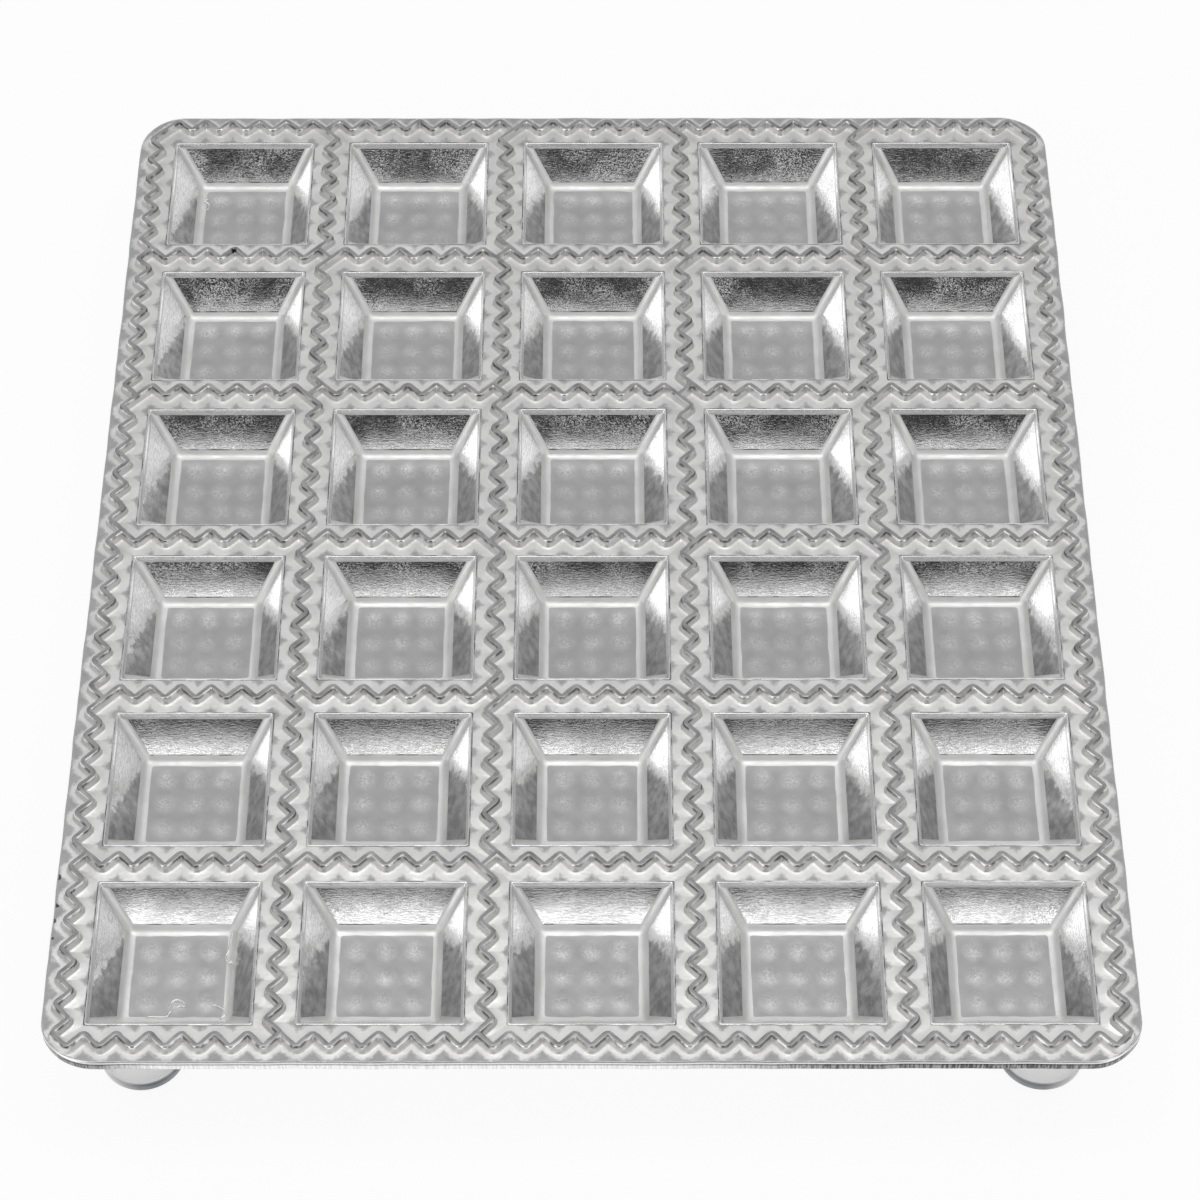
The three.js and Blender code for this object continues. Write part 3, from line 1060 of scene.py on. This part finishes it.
def screw_rings():
    """Rings from the head's flat end up over its dome, along the thread and in to the blunt tip."""
    turns = np.linspace(0, math.tau, screw_facets, endpoint=False)
    circle = circle_of(screw_facets)
    dome_end = head_seat - head_side
    rings = []
    for angle in np.linspace(head_flat_share, 1, head_steps) * math.pi / 2:
        radius = head_radius * math.sin(angle) ** head_fullness
        rings.append(at_height(radius * circle, dome_end - (dome_end - head_bottom) * math.cos(angle)))
    rings[0][:, 2] = head_bottom
    for radius, height in [(head_radius, head_seat - head_break), (head_radius - head_break, head_seat),
                           (root_radius + neck_round, head_seat), (root_radius, head_seat + neck_round)]:
        rings.append(at_height(radius * circle, height))
    for height in np.arange(thread_start, screw_tip, thread_pitch / thread_levels):
        share = (height / thread_pitch - turns / math.tau) % 1
        tooth = np.clip(tooth_top - tooth_slope * np.abs(share - 0.5), 0, 1)
        begun = min(1, (height - thread_start) / thread_pitch)
        narrow = min(1, tip_share + (screw_tip - height) / tip_length * (1 - tip_share))
        radius = narrow * (root_radius + (thread_radius - root_radius) * tooth * begun)
        rings.append(at_height(radius[:, None] * circle, height))
    rings.append(at_height(tip_flat_share * root_radius * circle, screw_tip))
    return rings


def recess_rings():
    """A cross that narrows upward into the screw's head."""
    quarter_turn = np.array([(0, 1), (-1, 0)])
    ends = [(recess_mouth_share, head_bottom - head_break), (recess_end_share, head_bottom + recess_depth)]
    rings = []
    for share, height in ends:
        near = recess_width / 2 * (1 - recess_taper + recess_taper * share)
        far = recess_length / 2 * share
        arm = np.array([(far, -near), (far, near), (near, near)])
        outline = [arm @ np.linalg.matrix_power(quarter_turn, turn) for turn in range(4)]
        rings.append(at_height(np.concatenate(outline), height))
    return rings


def zinc_plate():
    """Bright zinc plating: cool grey, cloudy, finely brushed by handling."""
    material, tree, shader = new_finish("bright_zinc_plate", 1.0)
    tone = mottled(tree, 900, 4, (0.52, 0.53, 0.56), (0.70, 0.71, 0.72))
    coat(tree, shader, tone, varied(tree, 1500, 3, 0.22, 0.38))
    bumped(tree, shader, [(grain(tree, 2500, 3), 0.2, 0.00004)])
    return material


screw_finish = zinc_plate()
for corner in foot_corners:
    screw = solid_from("foot_screw_" + corner + "_turned", screw_rings())
    cut_or_join(screw, solid_from("recess", recess_rings()), "DIFFERENCE")
    placed(screw, axis_of("foot_screw_" + corner), screw_finish)
    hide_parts("foot_screw_" + corner)

# The studio: a pale floor under one soft lamp, in a pale room that is darker behind the camera.
# The camera stands where the photograph was taken from, looking down at the tray's middle.
studio_half = 8.0
studio_corners = [(-studio_half, -studio_half, 0), (studio_half, -studio_half, 0),
                  (studio_half, studio_half, 0), (-studio_half, studio_half, 0)]
floor = linked("studio_floor", studio_corners, [(0, 1, 2, 3)])


def white_floor():
    """White to the eye and in reflections, but still a floor that a shadow falls on."""
    material, tree, shader = new_finish("white_studio_floor", 0.0)
    shader.inputs["Base Color"].default_value = (0.9, 0.9, 0.9, 1)
    shader.inputs["Roughness"].default_value = 0.9
    glow = tree.nodes.new("ShaderNodeEmission")
    glow.inputs["Strength"].default_value = 1.02
    glow_share = 0.88
    rays = tree.nodes.new("ShaderNodeLightPath").outputs
    seen = combined(tree, "ADD", rays["Is Camera Ray"], rays["Is Glossy Ray"])
    seen = combined(tree, "ADD", seen, rays["Is Transmission Ray"])
    blend = tree.nodes.new("ShaderNodeMixShader")
    tree.links.new(combined(tree, "MULTIPLY", seen, glow_share), blend.inputs[0])
    tree.links.new(shader.outputs[0], blend.inputs[1])
    tree.links.new(glow.outputs[0], blend.inputs[2])
    tree.links.new(blend.outputs[0], tree.nodes["Material Output"].inputs["Surface"])
    return material


floor.data.materials.append(white_floor())


def studio_room():
    """The room as light: white to the left and right front, greyer ahead, dark behind the camera."""
    world = bpy.data.worlds.new("studio_room")
    world.use_nodes = True
    tree = world.node_tree
    view = tree.nodes.new("ShaderNodeTexCoord").outputs["Generated"]
    rightward, backward, upward = place_parts(tree, "Generated")

    def toward(direction, outer, inner):
        """1 within an angle of a direction, fading to 0 at a wider angle; angles in degrees."""
        node = tree.nodes.new("ShaderNodeVectorMath")
        node.operation = "DOT_PRODUCT"
        tree.links.new(view, node.inputs[0])
        node.inputs[1].default_value = Vector(direction).normalized()
        far, near = (math.cos(math.radians(angle)) for angle in (outer, inner))
        return spread(tree, node.outputs["Value"], far, near, 0, 1)

    sideways = combined(tree, "ABSOLUTE", rightward, 0)
    straight = ramp(tree, upward, [(0.1, grey(0.8)), (0.25, grey(1.1)), (0.55, grey(1.1)),
                                   (0.72, grey(0.7)), (1.0, grey(0.85))])
    corners = ramp(tree, upward, [(0.15, grey(0.25)), (0.5, grey(0.45)), (0.8, grey(0.65))])
    ahead = mixed(tree, spread(tree, sideways, 0.35, 0.55, 0, 1), straight, corners)
    leftward = spread(tree, rightward, 0.2, -0.5, 0, 1)
    front = mixed(tree, leftward, grey(0.80), grey(0.94))
    right_front = combined(tree, "MULTIPLY", toward((0.442, 0.779, 0.445), 89.0, 92.5),
                           spread(tree, rightward, 0.48, 0.58, 0, 1))
    front = mixed(tree, right_front, front, grey(1.30))
    room = mixed(tree, spread(tree, backward, -0.45, -0.25, 0, 1), front, ahead)
    room = mixed(tree, toward((-0.70, -0.63, 0.34), 20, 11), room, grey(1.55))
    room = mixed(tree, toward((0, 0.62, 0.785), 24, 10), room, grey(0.40))
    behind = combined(tree, "MULTIPLY", spread(tree, backward, -0.6, -0.7, 0, 1),
                      spread(tree, sideways, 0.50, 0.34, 0, 1))
    dark = combined(tree, "MULTIPLY", behind, spread(tree, upward, 0.46, 0.36, 0, 1))
    room = mixed(tree, toward((0, -0.58, 0.81), 19, 11), room, grey(0.05))
    colour = mixed(tree, dark, room, (0.04, 0.04, 0.042))
    tree.links.new(colour, tree.nodes["Background"].inputs["Color"])
    return world


bpy.context.scene.world = studio_room()


def soft_lamp(name, place, aim, size, power):
    """A rectangular lamp that hangs at a place and shines at another; metres and watts."""
    lamp = bpy.data.lights.new(name, "AREA")
    lamp.shape = "RECTANGLE"
    lamp.size, lamp.size_y = size
    lamp.energy = power
    holder = bpy.data.objects.new(name, lamp)
    holder.location = place
    holder.rotation_euler = (Vector(aim) - Vector(place)).to_track_quat("-Z", "Y").to_euler()
    bpy.context.scene.collection.objects.link(holder)


soft_lamp("overhead_softbox", (0.0, -0.02, 0.64), (0, -0.02, 0), (0.5, 0.22), 0.66)

lens = bpy.data.cameras.new("camera")
lens.sensor_width = 36.0
lens.lens = 100.742
camera = bpy.data.objects.new("camera", lens)
stand = Vector((2.319, -432.291, 579.824)) * MM
aim = Vector((1.582, -15.698, 25.0)) * MM
roll = math.radians(0.1225)
camera.location = stand
turn = (aim - stand).to_track_quat("-Z", "Y").to_matrix() @ Matrix.Rotation(-roll, 3, "Z")
camera.rotation_euler = turn.to_euler()
bpy.context.scene.collection.objects.link(camera)
bpy.context.scene.camera = camera
bpy.context.scene.view_settings.view_transform = "Standard"
